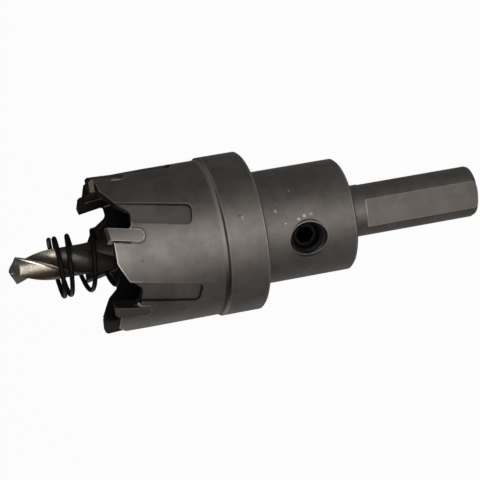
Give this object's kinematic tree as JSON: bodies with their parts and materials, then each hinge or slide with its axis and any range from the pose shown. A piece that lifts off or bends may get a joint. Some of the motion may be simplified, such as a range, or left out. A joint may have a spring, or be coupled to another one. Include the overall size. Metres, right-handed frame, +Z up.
{
  "type": "hole saw",
  "caption": "Carbide-tipped cup hole saw with slanted gullets and chip flutes, stop collar, three-flat shank, pilot drill, coil ejector spring and grub screw.",
  "frame": {"origin": "centre of the shank's end face, at the base of the standing tool", "axes": "+Z up the tool's axis from the shank to the drill point; -Y towards the grub screw"},
  "size_m": [0.0304, 0.0302, 0.0921],
  "materials": {
    "body_steel": "dark satin",
    "carbide": "ground, satin",
    "drill_steel": "bright ground",
    "spring_steel": "black oxide",
    "screw_steel": "black oxide"
  },
  "bodies": {
    "root": {"cutter_body": "body_steel", "carbide_tip_1": "carbide", "carbide_tip_2": "carbide", "carbide_tip_3": "carbide", "carbide_tip_4": "carbide", "carbide_tip_5": "carbide", "carbide_tip_6": "carbide", "pilot_drill": "drill_steel", "ejector_spring": "spring_steel", "grub_screw": "screw_steel"}
  },
  "joints": []
}
